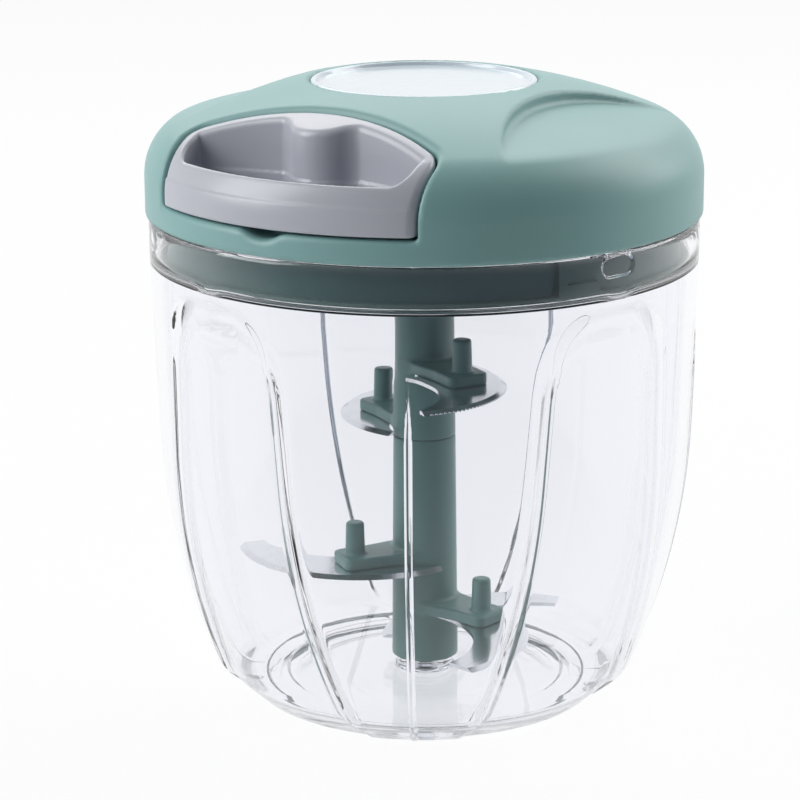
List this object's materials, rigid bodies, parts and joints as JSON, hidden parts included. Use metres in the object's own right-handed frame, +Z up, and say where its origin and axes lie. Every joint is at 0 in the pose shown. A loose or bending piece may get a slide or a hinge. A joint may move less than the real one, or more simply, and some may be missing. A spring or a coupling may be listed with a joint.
{
  "type": "pull-string food chopper",
  "caption": "Hand chopper with a clear panelled bowl, a domed lid that hides a sprung cord reel behind a D-shaped pull handle, and a stacked set of sickle blades that the cord spins",
  "frame": {"origin": "centre of the bowl's foot, on the surface it stands on", "axes": "+Z up, the handle pulls out along -Y, X across the handle"},
  "size_m": [0.1206, 0.1206, 0.1362],
  "materials": {
    "clear_plastic": "clear, polished",
    "steel": "polished",
    "silicone": "soft matt",
    "sage_plastic": "satin with a fine grain",
    "ice_plastic": "glossy",
    "deep_green_plastic": "satin",
    "lilac_plastic": "satin gloss",
    "nylon": "smooth",
    "cord": "braided"
  },
  "bodies": {
    "bowl": {"bowl": "clear_plastic", "spindle_pin": "steel"},
    "seal": {"seal_ring": "silicone"},
    "lid": {"lid_shell": "sage_plastic", "top_disc": "ice_plastic", "base_plate": "deep_green_plastic", "plate_screws": "steel", "drive_bush": "nylon", "thrust_washer": "steel", "spring_case": "nylon", "case_screws": "steel", "return_spring": "steel", "axle_pin": "steel", "cord_eyelet": "steel", "cord_lead": "cord"},
    "handle": {"pull_handle": "lilac_plastic", "cord_knot": "cord"},
    "reel": {"spool": "nylon", "cord_winding": "cord", "drive_shaft": "steel"},
    "rotor": {"lower_hub": "deep_green_plastic", "upper_hub": "deep_green_plastic", "upper_blade_front": "steel", "upper_blade_rear": "steel", "lower_blade_high": "steel", "lower_blade_mid": "steel", "lower_blade_low": "steel"}
  },
  "joints": [
    {"name": "lid_lift", "type": "slide", "parent": "bowl", "child": "seal", "axis": [0, 0, 1], "range_m": [0, 0.11]},
    {"name": "lid_turn", "type": "hinge", "parent": "seal", "child": "lid", "pos_m": [0, 0, 0.099], "axis": [0, 0, 1], "range_deg": [0, 8]},
    {"name": "handle_pull", "type": "slide", "parent": "lid", "child": "handle", "axis": [0, -1, 0], "range_m": [0, 0.3], "stiffness_N_per_m": 25, "springref_m": -0.08, "deforming": ["cord_lead", "return_spring"]},
    {"name": "reel_spin", "type": "hinge", "parent": "lid", "child": "reel", "pos_m": [0, 0, 0.115], "axis": [0, 0, 1], "range_deg": [0, 819.6]},
    {"name": "rotor_drop", "type": "slide", "parent": "reel", "child": "rotor", "axis": [0, 0, -1], "range_m": [0, 0.11]}
  ],
  "couplings": [
    {"joint": "reel_spin", "follows": "handle_pull", "rad_per_m": 47.68},
    {"joint": "rotor_drop", "follows": "lid_lift", "ratio": 1}
  ]
}
